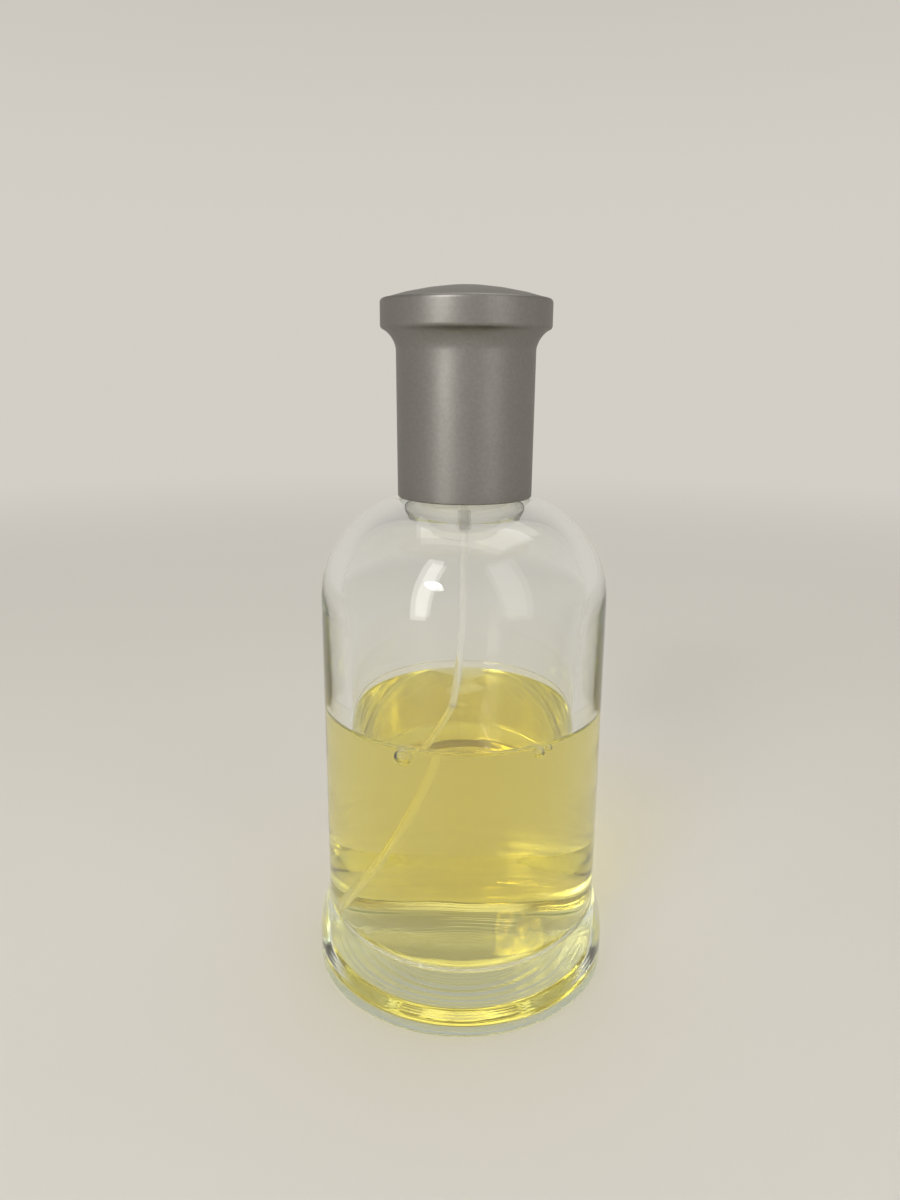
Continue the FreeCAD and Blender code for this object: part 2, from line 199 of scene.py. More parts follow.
def handling_marks() -> bpy.types.NodeTree:
    """Roughness that drifts between two values in soft patches with a finer mottle.

    Returns:
        The group.
    """
    tree, given = new_group(Effect.MARKS, {"Scale": 60.0, "Low": 0.3, "High": 0.45},
                            {"Roughness": "NodeSocketFloat"})
    where = tree.node("ShaderNodeTexCoord")
    broad = tree.node("ShaderNodeTexNoise", {
        "Vector": where.outputs["Object"], "Scale": given.outputs["Scale"],
        "Detail": 5.0, "Roughness": 0.6, "Distortion": 0.4})
    share = tree.node("ShaderNodeMapRange", {
        "Value": broad.outputs[0], "From Min": 0.3, "From Max": 0.7,
        "To Min": given.outputs["Low"], "To Max": given.outputs["High"]})
    tree.node("NodeGroupOutput", {"Roughness": share.outputs["Result"]})
    return tree.tree


def tone_drift() -> bpy.types.NodeTree:
    """Colour that drifts between two close tones.

    Returns:
        The group.
    """
    tree, given = new_group(
        Effect.DRIFT, {"Light": (0.8, 0.8, 0.8, 1.0), "Dark": (0.7, 0.7, 0.7, 1.0), "Scale": 40.0},
        {"Color": "NodeSocketColor"})
    where = tree.node("ShaderNodeTexCoord")
    cloud = tree.node("ShaderNodeTexNoise", {
        "Vector": where.outputs["Object"], "Scale": given.outputs["Scale"],
        "Detail": 6.0, "Roughness": 0.55})
    tone = tree.node("ShaderNodeMix", {
        0: cloud.outputs[0], 6: given.outputs["Dark"], 7: given.outputs["Light"]}, data_type="RGBA")
    tree.node("NodeGroupOutput", {"Color": tone.outputs[2]})
    return tree.tree


def effect_group(effect: Effect) -> bpy.types.NodeTree:
    """Node group of a shared effect, built the first time it is asked for.

    Args:
        effect: Which effect.

    Returns:
        The group.
    """
    builders = {Effect.GRAIN: fine_grain, Effect.MARKS: handling_marks, Effect.DRIFT: tone_drift}
    return bpy.data.node_groups.get(effect.value) or builders[effect]()


@dataclass(frozen=True)
class Finish:
    """A surface finish and the record's slot that it belongs to."""

    name: str
    slot: Slot

    def material(self) -> bpy.types.Material:
        """Material of this finish, made the first time it is asked for.

        Returns:
            The material.
        """
        if self not in MADE:
            MADE[self] = bpy.data.materials.new(self.name)
            MADE[self].use_nodes = True
            self.fill(Tree(MADE[self].node_tree))
        return MADE[self]

    def fill(self, tree: Tree) -> None:
        """Builds the material's nodes in the tree."""
        raise NotImplementedError


# Materials made so far
MADE: dict[Finish, bpy.types.Material] = {}


@dataclass(frozen=True)
class Opaque(Finish):
    """Metal, plastic or rubber with tone drift, handling marks and a fine grain."""

    light: Colour
    dark: Colour
    rough: tuple[float, float]
    metallic: float = 0.0
    edge_tint: float = 1.0
    drift_scale: float = 60.0
    marks_scale: float = 90.0
    grain_scale: float = 2500.0
    grain_spread: tuple[float, float, float] = (1.0, 1.0, 1.0)
    grain_depth: float = 0.01

    def fill(self, tree: Tree) -> None:
        """Builds the material's nodes.

        Args:
            tree: Tree that takes them.
        """
        tone = tree.effect(Effect.DRIFT, {
            "Light": self.light, "Dark": self.dark, "Scale": self.drift_scale})
        marks = tree.effect(Effect.MARKS, {
            "Scale": self.marks_scale, "Low": self.rough[0], "High": self.rough[1]})
        grain = tree.effect(Effect.GRAIN, {"Scale": self.grain_scale, "Spread": self.grain_spread})
        bump = tree.node("ShaderNodeBump", {
            "Height": grain.outputs["Height"], "Strength": 1.0, "Distance": self.grain_depth * MM})
        shader = tree.node("ShaderNodeBsdfPrincipled", {
            "Base Color": tone.outputs["Color"], "Roughness": marks.outputs["Roughness"],
            "Normal": bump.outputs["Normal"], "Metallic": self.metallic,
            "Specular Tint": (self.edge_tint, self.edge_tint, self.edge_tint, 1.0)})
        tree.node("ShaderNodeOutputMaterial", {"Surface": shader.outputs[0]})


@dataclass(frozen=True)
class Clear(Finish):
    """Glass, clear plastic or liquid that takes a little light on the way and lets lamps through."""

    tint: Colour
    ior: float
    absorbs: Colour
    density: float
    shadow: Colour
    clarity: float = 1.0
    rough: tuple[float, float] = (0.0, 0.012)
    marks_scale: float = 110.0
    wave_scale: float = 120.0
    wave_depth: float = 0.004
    ring_depth: float = 0.0
    ring_scale: float = 850.0
    ring_top: float = 2.4
    stipple_depth: float = 0.0
    stipple_scale: float = 900.0
    stipple_top: float = 0.35
    full_share: float = 0.8

    def relief(self, tree: Tree) -> bpy.types.NodeSocket:
        """Bump height in millimetres: soft waves, and under a moulded foot its rings and stipple.

        The rings and the stipple fade in from their top down to full_share of it.

        Args:
            tree: Tree that takes the nodes.

        Returns:
            Socket of the height.
        """
        wave = tree.effect(Effect.GRAIN, {"Scale": self.wave_scale})
        total = tree.node("ShaderNodeMath", {
            0: wave.outputs["Height"], 1: self.wave_depth}, operation="MULTIPLY")
        if self.ring_depth <= 0.0:
            return total.outputs[0]
        where = tree.node("ShaderNodeTexCoord")
        parts = tree.node("ShaderNodeSeparateXYZ", {0: where.outputs["Object"]})
        level = tree.node("ShaderNodeVectorMath", {
            0: where.outputs["Object"], 1: (1.0, 1.0, 0.0)}, operation="MULTIPLY")
        out = tree.node("ShaderNodeVectorMath", {0: level.outputs[0]}, operation="LENGTH")
        rings = tree.node("ShaderNodeTexNoise", {
            "W": out.outputs["Value"], "Scale": self.ring_scale, "Detail": 2.0}, noise_dimensions="1D")
        stipple = tree.effect(Effect.GRAIN, {"Scale": self.stipple_scale})
        for height, depth, top in ((rings.outputs[0], self.ring_depth, self.ring_top),
                                   (stipple.outputs["Height"], self.stipple_depth, self.stipple_top)):
            share = tree.node("ShaderNodeMapRange", {
                "Value": parts.outputs["Z"], "From Min": top * MM, "From Max": top * self.full_share * MM,
                "To Min": 0.0, "To Max": depth})
            total = tree.node("ShaderNodeMath", {
                0: height, 1: share.outputs["Result"], 2: total.outputs[0]}, operation="MULTIPLY_ADD")
        return total.outputs[0]

    def fill(self, tree: Tree) -> None:
        """Builds the material's nodes.

        Args:
            tree: Tree that takes them.
        """
        marks = tree.effect(Effect.MARKS, {
            "Scale": self.marks_scale, "Low": self.rough[0], "High": self.rough[1]})
        bump = tree.node("ShaderNodeBump", {"Height": self.relief(tree), "Strength": 1.0, "Distance": MM})
        shader = tree.node("ShaderNodeBsdfPrincipled", {
            "Base Color": self.tint, "Roughness": marks.outputs["Roughness"], "IOR": self.ior,
            "Normal": bump.outputs["Normal"], "Transmission Weight": self.clarity})
        through = tree.node("ShaderNodeBsdfTransparent", {"Color": self.shadow})
        path = tree.node("ShaderNodeLightPath")
        mix = tree.node("ShaderNodeMixShader", {
            0: path.outputs["Is Shadow Ray"], 1: shader.outputs[0], 2: through.outputs[0]})
        output = tree.node("ShaderNodeOutputMaterial", {"Surface": mix.outputs[0]})
        if self.density > 0.0:
            depth = tree.node("ShaderNodeVolumeAbsorption", {"Color": self.absorbs, "Density": self.density})
            tree.tree.links.new(depth.outputs[0], output.inputs["Volume"])


FLASK_GLASS = Clear(
    "flask_glass", Slot.GLASS, tint=(0.985, 0.992, 0.988, 1.0), ior=1.52,
    absorbs=(0.8, 0.93, 0.86, 1.0), density=9.0, shadow=(0.97, 0.975, 0.97, 1.0),
    ring_depth=0.06, stipple_depth=0.02)
STRAW_LIQUID = Clear(
    "straw_aftershave", Slot.FILLING, tint=(1.0, 0.995, 0.97, 1.0), ior=1.36,
    absorbs=(0.92, 0.835, 0.0, 1.0), density=31.0, shadow=(0.98, 0.96, 0.78, 1.0),
    rough=(0.0, 0.004), wave_scale=60.0, wave_depth=0.002)
TUBE_DRY = Clear(
    "clear_tube", Slot.TUBE, tint=(0.96, 0.955, 0.94, 1.0), ior=1.45,
    absorbs=(0.9, 0.92, 0.9, 1.0), density=40.0, shadow=(0.9, 0.9, 0.9, 1.0),
    clarity=0.94, rough=(0.03, 0.08), wave_scale=900.0)
TUBE_WET = Clear(
    "clear_tube_in_liquid", Slot.TUBE, tint=(0.99, 0.985, 0.95, 1.0), ior=1.14,
    absorbs=(0.9, 0.92, 0.9, 1.0), density=0.0, shadow=(0.96, 0.96, 0.93, 1.0),
    clarity=0.95, rough=(0.0, 0.03), wave_scale=900.0)
MILKY_PLASTIC = Clear(
    "milky_plastic", Slot.NATURAL, tint=(0.96, 0.955, 0.94, 1.0), ior=1.18,
    absorbs=(0.9, 0.9, 0.88, 1.0), density=20.0, shadow=(0.85, 0.85, 0.83, 1.0),
    clarity=0.8, rough=(0.12, 0.2), wave_scale=1500.0, wave_depth=0.006)
WHITE_PLASTIC = Opaque(
    "moulded_white", Slot.WHITE, light=(0.86, 0.86, 0.85, 1.0), dark=(0.79, 0.79, 0.77, 1.0),
    rough=(0.32, 0.46), grain_depth=0.006)
GREY_PLASTIC = Opaque(
    "moulded_grey", Slot.GREY, light=(0.36, 0.355, 0.345, 1.0), dark=(0.31, 0.305, 0.3, 1.0),
    rough=(0.4, 0.55), grain_depth=0.008)
SEAL_RUBBER = Opaque(
    "black_seal", Slot.SEAL, light=(0.045, 0.045, 0.045, 1.0), dark=(0.03, 0.03, 0.03, 1.0),
    rough=(0.6, 0.78), grain_scale=1800.0, grain_depth=0.012)
DRAWN_STEEL = Opaque(
    "drawn_steel", Slot.STEEL, light=(0.68, 0.68, 0.69, 1.0), dark=(0.58, 0.58, 0.59, 1.0),
    rough=(0.16, 0.28), metallic=1.0, grain_scale=3000.0, grain_depth=0.002)
BRIGHT_ALUMINIUM = Opaque(
    "anodised_aluminium", Slot.ALUMINIUM, light=(0.78, 0.78, 0.79, 1.0), dark=(0.7, 0.7, 0.71, 1.0),
    rough=(0.12, 0.2), metallic=1.0, grain_scale=60.0, grain_spread=(1.0, 1.0, 60.0), grain_depth=0.003)
SATIN_METAL = Opaque(
    "satin_pewter_metal", Slot.SATIN, light=(0.31, 0.301, 0.287, 1.0), dark=(0.225, 0.218, 0.208, 1.0),
    rough=(0.4, 0.48), metallic=1.0, edge_tint=0.8, drift_scale=1400.0, marks_scale=140.0,
    grain_scale=3200.0, grain_depth=0.005)


def profile(corners: Sequence[Corner], joined: bool, longest: float) -> bmesh.types.BMesh:
    """Wire half section with rounded corners, in the plane of X and Z.

    Args:
        corners: Radius, height and, where the corner is rounded, its round.
        joined: True where the last corner joins the first.
        longest: Longest straight piece that is left undivided.

    Returns:
        The wire.
    """
    bm = bmesh.new()
    points = [Vector((corner[0], 0.0, corner[1])) * MM for corner in corners]
    verts = [bm.verts.new(point) for point in points]
    for start, end in zip(verts, verts[1:]):
        bm.edges.new((start, end))
    if joined:
        bm.edges.new((verts[-1], verts[0]))
    for number, corner in enumerate(corners):
        if len(corner) < 3:
            continue
        back = points[number - 1] - points[number]
        on = points[(number + 1) % len(points)] - points[number]
        turn = math.pi - back.angle(on)
        reach = min(corner[2] * MM * math.tan(turn / 2.0), ARC_SHARE * min(back.length, on.length))
        bmesh.ops.bevel(bm, geom=[verts[number]], offset=reach, offset_type="OFFSET", affect="VERTICES",
                        segments=max(ARC_FACETS, math.ceil(turn / ARC_STEP)), profile=0.5, material=-1)
    for edge in list(bm.edges):
        cuts = int(edge.calc_length() / (longest * MM))
        if cuts:
            bmesh.ops.subdivide_edges(bm, edges=[edge], cuts=cuts)
    return bm


def turned(corners: Sequence[Corner], joined: bool, facets: int,
           longest: float = 3.0) -> bmesh.types.BMesh:
    """Solid of revolution about the flask's axis.

    Args:
        corners: Half section, as profile() takes it.
        joined: True for a ring, False for a section that starts and ends on the axis.
        facets: Faces around.
        longest: Longest face along the section.

    Returns:
        The closed mesh, its faces outwards.
    """
    bm = profile(corners, joined, longest)
    bmesh.ops.spin(bm, geom=list(bm.verts) + list(bm.edges), cent=(0.0, 0.0, 0.0), axis=(0.0, 0.0, 1.0),
                   angle=2.0 * math.pi, steps=facets, use_merge=True)
    bmesh.ops.remove_doubles(bm, verts=list(bm.verts), dist=MERGE)
    bmesh.ops.recalc_face_normals(bm, faces=list(bm.faces))
    return bm


def place(bm: bmesh.types.BMesh, name: str, finishes: Sequence[Finish], body: Body,
          node: str) -> bpy.types.Object:
    """Makes a finished mesh a piece of the object.

    Args:
        bm: The mesh, which is freed.
        name: Name of the piece.
        finishes: Its finishes, in the order of the faces' material numbers.
        body: Body that it rides on.
        node: CAD node that it stands for.

    Returns:
        The piece.
    """
    mesh = bpy.data.meshes.new(name)
    bm.to_mesh(mesh)
    bm.free()
    mesh.shade_smooth()
    mesh.set_sharp_from_angle(angle=SHARP)
    for finish in finishes:
        mesh.materials.append(finish.material())
    piece = bpy.data.objects.new(name, mesh)
    bpy.context.scene.collection.objects.link(piece)
    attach(piece, body.value)
    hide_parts(node)
    LOG.info("piece %s for %s: %d faces", name, node, len(mesh.polygons))
    return piece


def dress(node: str, finish: Finish) -> None:
    """Gives a kept CAD node its finish.

    Args:
        node: Name of the node.
        finish: The finish.
    """
    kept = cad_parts[node]
    for held in kept.material_slots:
        held.material = finish.material()
    LOG.info("kept %s in %s", node, finish.name)


@dataclass
class Flask:
    """Thick-walled glass flask and the aftershave in it."""

    body_radius: float = 33.0
    wall: float = 6.0
    shoulder_top: float = 116.65
    shoulder_round: float = 23.4
    floor: float = 10.0
    floor_round: float = 5.0
    foot_radius: float = 35.55
    foot_side: float = 11.05
    foot_top: float = 18.6
    foot_flare: float = 20.0
    foot_edge: float = 1.6
    crease: float = 0.3
    rest_ring: float = 7.0
    push_up: float = 2.0
    push_up_slope: float = 4.0
    push_up_round: float = 3.0
    neck_radius: float = 8.4
    neck_bore: float = 6.5
    neck_height: float = 10.35
    neck_root: float = 0.8
    bead_radius: float = 9.85
    bead_height: float = 4.0
    bead_round: float = 0.9
    lean_start: float = 67.0
    lean_round: float = 120.0
    upper_radius: float = 29.3
    upper_corner: float = 106.3
    upper_round: float = 18.0
    bore_foot: float = 114.6
    bore_round: float = 4.0
    ripple: float = 0.07
    ripple_length: float = 9.0
    ripple_reach: float = 0.3
    wetting: float = 0.22
    meniscus_rise: float = 1.3
    meniscus_width: float = 0.5
    meniscus_round: float = 1.5
    bubble_depth: float = 1.02
    bubble_detail: int = 3
    facets: int = 192
    longest_face: float = 2.0
    # Degrees from the front, distance from the axis and radius of each bubble
    bubbles: tuple[tuple[float, float, float], ...] = (
        (-29.0, 24.4, 1.95),
        (36.0, 24.9, 1.3),
        (41.0, 25.4, 0.75),
    )

    @property
    def cavity(self) -> float:
        """Radius of the inside."""
        return self.body_radius - self.wall

    def glass(self) -> bmesh.types.BMesh:
        """Turns the glass and gives its inner wall the slight unevenness of blown glass.

        Returns:
            The mesh.
        """
        neck_top = self.shoulder_top + self.neck_height
        bead_bottom = neck_top - self.bead_height
        ring_inside = self.foot_radius - self.foot_edge - self.rest_ring
        bm = turned([
            (0.0, self.push_up),
            (ring_inside - self.push_up_slope, self.push_up, self.push_up_round),
            (ring_inside, 0.0),
            (self.foot_radius, 0.0, self.foot_edge),
            (self.foot_radius, self.foot_side, self.foot_flare),
            (self.body_radius, self.foot_top, self.crease),
            (self.body_radius, self.shoulder_top, self.shoulder_round),
            (self.neck_radius, self.shoulder_top, self.neck_root),
            (self.neck_radius, bead_bottom),
            (self.bead_radius, bead_bottom, self.bead_round),
            (self.bead_radius, neck_top, self.bead_round),
            (self.neck_bore, neck_top, self.bead_round / 2.0),
            (self.neck_bore, self.bore_foot, self.bore_round),
            (self.upper_radius, self.upper_corner, self.upper_round),
            (self.cavity, self.lean_start, self.lean_round),
            (self.cavity, self.floor, self.floor_round),
            (0.0, self.floor),
        ], joined=False, facets=self.facets, longest=self.longest_face)
        for vert in bm.verts:
            out = Vector((vert.co.x, vert.co.y, 0.0))
            within = self.floor + self.floor_round < vert.co.z / MM < self.lean_start
            if within and out.length < (self.cavity + self.ripple_reach) * MM:
                wave = noise.noise(vert.co / (self.ripple_length * MM))
                vert.co += out.normalized() * (wave * self.ripple * MM)
        return bm

    def filling(self) -> bmesh.types.BMesh:
        """Turns the aftershave, which wets the glass, with its meniscus and a few bubbles at its edge.

        Returns:
            The mesh.
        """
        edge = self.cavity + self.wetting
        bottom = self.floor - self.wetting
        top = FILL_LEVEL + self.meniscus_rise
        bm = turned([
            (0.0, bottom),
            (edge, bottom, self.floor_round + self.wetting),
            (edge, top),
            (self.cavity - self.meniscus_width / 4.0, top),
            (self.cavity - self.meniscus_width, FILL_LEVEL, self.meniscus_round),
            (0.0, FILL_LEVEL),
        ], joined=False, facets=self.facets, longest=self.longest_face)
        for azimuth, radius, size in self.bubbles:
            turn = math.radians(azimuth)
            height = FILL_LEVEL - size * self.bubble_depth
            middle = Vector((radius * math.sin(turn), -radius * math.cos(turn), height)) * MM
            made = bmesh.ops.create_icosphere(bm, subdivisions=self.bubble_detail, radius=size * MM,
                                              matrix=Matrix.Translation(middle))
            faces = list({face for vert in made["verts"] for face in vert.link_faces})
            bmesh.ops.reverse_faces(bm, faces=faces)
        return bm

    def build(self) -> None:
        """Makes both pieces."""
        place(self.glass(), "flask", [FLASK_GLASS], Body.BOTTLE, "glass_bottle")
        place(self.filling(), "aftershave", [STRAW_LIQUID], Body.BOTTLE, "aftershave_liquid")


@dataclass
class DipTube:
    """Clear tube from the pump's tail to the floor's corner."""

    radius: float = 0.95
    wall: float = 0.4
    top: float = 113.115
    bend_top: float = 92.26
    bend: float = 150.0
    lean: float = 27.0
    last_run: float = 14.2
    facets: int = 28
    run_steps: int = 6
    bend_steps: int = 36

    def skin(self, bm: bmesh.types.BMesh, radius: float) -> list[bmesh.types.BMEdge]:
        """Draws one wall of the tube along its route.

        Args:
            bm: Mesh that takes the wall.
            radius: Radius of the wall.

        Returns:
            The edges of its two open ends.
        """
        ring = bmesh.ops.create_circle(bm, segments=self.facets, radius=radius * MM,
                                       matrix=Matrix.Translation((0.0, 0.0, self.top * MM)))["verts"]
        first = list({edge for vert in ring for edge in vert.link_edges})
        lean = math.radians(self.lean)
        slant = Vector((-math.sin(lean), 0.0, -math.cos(lean)))
        edges = self.run(bm, first, Vector((0.0, 0.0, self.bend_top - self.top)) * MM)
        verts = list({vert for edge in edges for vert in edge.verts})
        last = bmesh.ops.spin(bm, geom=edges + verts, cent=(-self.bend * MM, 0.0, self.bend_top * MM),
                              axis=(0.0, 1.0, 0.0), angle=lean, steps=self.bend_steps)["geom_last"]
        edges = [item for item in last if isinstance(item, bmesh.types.BMEdge)]
        return first + self.run(bm, edges, slant * (self.last_run * MM))

    def run(self, bm: bmesh.types.BMesh, edges: list[bmesh.types.BMEdge],
            way: Vector) -> list[bmesh.types.BMEdge]:
        """Extrudes a ring of edges straight on.

        Args:
            bm: Mesh that holds the ring.
            edges: The ring.
            way: Where it goes, from its place.

        Returns:
            The last ring.
        """
        for _ in range(self.run_steps):
            made = bmesh.ops.extrude_edge_only(bm, edges=edges)["geom"]
            verts = {item for item in made if isinstance(item, bmesh.types.BMVert)}
            bmesh.ops.translate(bm, vec=way / self.run_steps, verts=list(verts))
            edges = [item for item in made
                     if isinstance(item, bmesh.types.BMEdge) and verts.issuperset(item.verts)]
        return edges

    def build(self) -> None:
        """Makes the tube; what stands in the liquid has a finish of its own."""
        bm = bmesh.new()
        ends = self.skin(bm, self.radius) + self.skin(bm, self.radius - self.wall)
        middle = self.bend_top * MM
        for high in (True, False):
            rims = [edge for edge in ends if (edge.verts[0].co.z > middle) == high]
            bmesh.ops.bridge_loops(bm, edges=rims)
        bmesh.ops.recalc_face_normals(bm, faces=list(bm.faces))
        for face in bm.faces:
            face.material_index = int(face.calc_center_median().z < FILL_LEVEL * MM)
        place(bm, "tube", [TUBE_DRY, TUBE_WET], Body.BOTTLE, "dip_tube")


@dataclass
class Pump:
    """Crimped fine-mist pump: housing, valve ball, spring, piston, stem and seals."""

    flange_radius: float = 9.6
    flange_bottom: float = 127.9
    flange_top: float = 128.9
    chamber_bore: float = 3.3
    chamber_wall: float = 1.3
    chamber_floor: float = 116.6
    lip_radius: float = 0.85
    lip_height: float = 0.4
    pocket_radius: float = 1.2
    pocket_wall: float = 0.9
    seat_top: float = 114.365
    throat_radius: float = 0.65
    throat_top: float = 113.815
    tube_stop: float = 113.415
    tail_bore: float = 0.97
    tail_radius: float = 1.5
    tail_bottom: float = 109.815
    mould_round: float = 0.3
    facets: int = 96
    longest_face: float = 4.0
    spring_wire: float = 0.45
    spring_radius: float = 2.45
    spring_bottom: float = 116.875
    spring_top: float = 123.625
    spring_turns: float = 5.5
    dead_turns: float = 0.8
    wire_facets: int = 14
    turn_steps: int = 40
    stroke: float = 3.6

    def housing(self) -> bmesh.types.BMesh:
        """Turns the chamber with its flange, ball pocket and tail.

        Returns:
            The mesh.
        """
        soft = self.mould_round
        chamber_outside = self.chamber_bore + self.chamber_wall
        pocket_outside = self.pocket_radius + self.pocket_wall
        pocket_top = self.chamber_floor - self.lip_height
        return turned([
            (self.tail_bore, self.tail_bottom, soft / 3.0),
            (self.tail_radius, self.tail_bottom, soft / 2.0),
            (self.tail_radius, self.throat_top, soft),
            (pocket_outside, self.throat_top + self.pocket_wall, soft),
            (pocket_outside, pocket_top - self.chamber_wall, soft),
            (chamber_outside, pocket_top, 2.0 * soft),
            (chamber_outside, self.flange_bottom),
            (self.flange_radius, self.flange_bottom, soft / 2.0),
            (self.flange_radius, self.flange_top, soft / 2.0),
            (self.chamber_bore, self.flange_top, soft / 2.0),
            (self.chamber_bore, self.chamber_floor, soft / 2.0),
            (self.lip_radius, self.chamber_floor),
            (self.lip_radius, self.chamber_floor - self.lip_height / 2.0),
            (self.pocket_radius, pocket_top),
            (self.pocket_radius, self.seat_top),
            (self.throat_radius, self.throat_top),
            (self.throat_radius, self.tube_stop),
            (self.tail_bore, self.tube_stop),
        ], joined=True, facets=self.facets, longest=self.longest_face)

    def spring(self) -> bmesh.types.BMesh:
        """Winds the return spring, with closed turns at both ends.

        Returns:
            The mesh.
        """
        bm = bmesh.new()
        start = Matrix.Translation((self.spring_radius * MM, 0.0, self.spring_bottom * MM))
        bmesh.ops.create_circle(bm, cap_ends=True, segments=self.wire_facets,
                                radius=self.spring_wire / 2.0 * MM,
                                matrix=start @ Matrix.Rotation(math.pi / 2.0, 4, "X"))
        ring = list(bm.edges)
        closed = (self.dead_turns, self.spring_wire * self.dead_turns)
        free = (self.spring_turns - 2.0 * closed[0], self.spring_top - self.spring_bottom - 2.0 * closed[1])
        for turns, rise in (closed, free, closed):
            steps = round(turns * self.turn_steps)
            verts = list({vert for edge in ring for vert in edge.verts})
            last = bmesh.ops.spin(bm, geom=ring + verts, cent=(0.0, 0.0, 0.0), axis=(0.0, 0.0, 1.0),
                                  dvec=(0.0, 0.0, rise / steps * MM), angle=2.0 * math.pi * turns,
                                  steps=steps)["geom_last"]
            ring = [item for item in last if isinstance(item, bmesh.types.BMEdge)]
        bmesh.ops.contextual_create(bm, geom=ring)
        bmesh.ops.recalc_face_normals(bm, faces=list(bm.faces))
        return bm

    def build(self) -> None:
        """Makes the housing and the spring and dresses the kept pieces."""
        place(self.housing(), "housing", [MILKY_PLASTIC], Body.BOTTLE, "pump_housing")
        coil = place(self.spring(), "coil_spring", [DRAWN_STEEL], Body.BOTTLE, "return_spring")
        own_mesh(coil)
        dress("inlet_ball", DRAWN_STEEL)
        dress("neck_gasket", SEAL_RUBBER)
        dress("stem_gasket", SEAL_RUBBER)
        for node in ("piston", "stem", "turret"):
            dress(node, WHITE_PLASTIC)


@dataclass
class Closure:
    """Metal ferrule that is crimped under the neck's bead, and the bright collar over it."""

    collar_inside: float = 10.45
    collar_outside: float = 11.15
    collar_bottom: float = 117.15
    collar_top: float = 136.2
    sheet: float = 0.7
    lip_radius: float = 7.1
    edge: float = 0.8
    sheet_round: float = 0.25
    facets: int = 144

    def collar(self) -> bmesh.types.BMesh:
        """Turns the collar with its inward lip.

        Returns:
            The mesh.
        """
        return turned([
            (self.collar_inside, self.collar_bottom, self.sheet_round),
            (self.collar_outside, self.collar_bottom, self.sheet_round),
            (self.collar_outside, self.collar_top, self.edge),
            (self.lip_radius, self.collar_top, self.sheet_round),
            (self.lip_radius, self.collar_top - self.sheet, self.sheet_round),
            (self.collar_inside, self.collar_top - self.sheet, self.edge - self.sheet_round),
        ], joined=True, facets=self.facets)

    def build(self) -> None:
        """Makes the collar and dresses the ferrule."""
        place(self.collar(), "neck_collar", [BRIGHT_ALUMINIUM], Body.BOTTLE, "collar")
        dress("crimp_ferrule", BRIGHT_ALUMINIUM)


@dataclass
class SprayHead:
    """Spray button: moulded core, metal skin and swirl nozzle."""

    def build(self) -> None:
        """Dresses the kept pieces."""
        dress("spray_button", WHITE_PLASTIC)
        dress("button_shell", BRIGHT_ALUMINIUM)
        dress("nozzle_insert", WHITE_PLASTIC)


@dataclass
class Cap:
    """Satin metal cap with its gripping sleeve."""

    skirt_radius: float = 15.15
    draft: float = 0.2
    bottom: float = 116.382
    height: float = 45.5
    head_radius: float = 18.72
    head_band: float = 6.1
    cove: float = 5.0
    underside: float = 29.5
    head_low_round: float = 0.8
    head_top_round: float = 0.9
    dome_rise: float = 2.9
    dome_radius: float = 17.7
    wall: float = 1.4
    edge: float = 0.4
    room_radius: float = 13.0
    ceiling: float = 5.6
    room_round: float = 2.0
    sleeve_top: float = 137.5
    facets: int = 192

    def shell(self) -> bmesh.types.BMesh:
        """Turns the cap: plain skirt, cove, broad head and low crown, hollow inside.

        Returns:
            The mesh.
        """
        top = self.bottom + self.height
        head_top = top - self.dome_rise
        head_bottom = head_top - self.head_band
        skirt_top = self.skirt_radius + self.draft
        skirt_end = head_bottom - (self.head_radius - skirt_top) * math.tan(math.radians(self.underside))
        sphere = (self.dome_radius ** 2 + self.dome_rise ** 2) / (2.0 * self.dome_rise)
        half_turn = math.asin(self.dome_radius / sphere) / 2.0
        return turned([
            (0.0, top),
            (sphere * math.tan(half_turn), top, sphere),
            (self.dome_radius, head_top),
            (self.head_radius, head_top, self.head_top_round),
            (self.head_radius, head_bottom, self.head_low_round),
            (skirt_top, skirt_end, self.cove),
            (self.skirt_radius, self.bottom, self.edge),
            (self.skirt_radius - self.wall, self.bottom, self.edge / 2.0),
            (self.skirt_radius - self.wall, self.sleeve_top),
            (self.room_radius, self.sleeve_top),
            (self.room_radius, top - self.ceiling, self.room_round),
            (0.0, top - self.ceiling),
        ], joined=False, facets=self.facets)

    def build(self) -> None:
        """Makes the cap and dresses its sleeve."""
        place(self.shell(), "cap", [SATIN_METAL], Body.CAP, "cap_shell")
        dress("cap_liner", GREY_PLASTIC)


@dataclass(frozen=True)
class Softbox:
    """Soft studio lamp, placed by its direction from the flask in degrees; lengths are in metres."""

    name: str
    azimuth: float
    elevation: float
    distance: float
    width: float
    height: float
    radiance: float
    colour: tuple[float, float, float] = (1.0, 0.975, 0.935)
    shape: LampShape = LampShape.RECTANGLE

    def build(self, aim: Vector) -> None:
        """Sets the lamp up.

        Args:
            aim: Point that it faces.
        """
        lamp = bpy.data.lights.new(self.name, "AREA")
        lamp.shape = self.shape.value
        lamp.size = self.width
        lamp.size_y = self.height
        lamp.energy = self.radiance * math.pi * self.width * self.height
        lamp.color = self.colour
        holder = bpy.data.objects.new(self.name, lamp)
        bpy.context.scene.collection.objects.link(holder)
        side = math.radians(self.azimuth)
        rise = math.radians(self.elevation)
        way = Vector((math.sin(side) * math.cos(rise), -math.cos(side) * math.cos(rise), math.sin(rise)))
        holder.location = aim + way * self.distance
        holder.rotation_euler = way.to_track_quat("Z", "Y").to_euler()
        holder.visible_camera = False


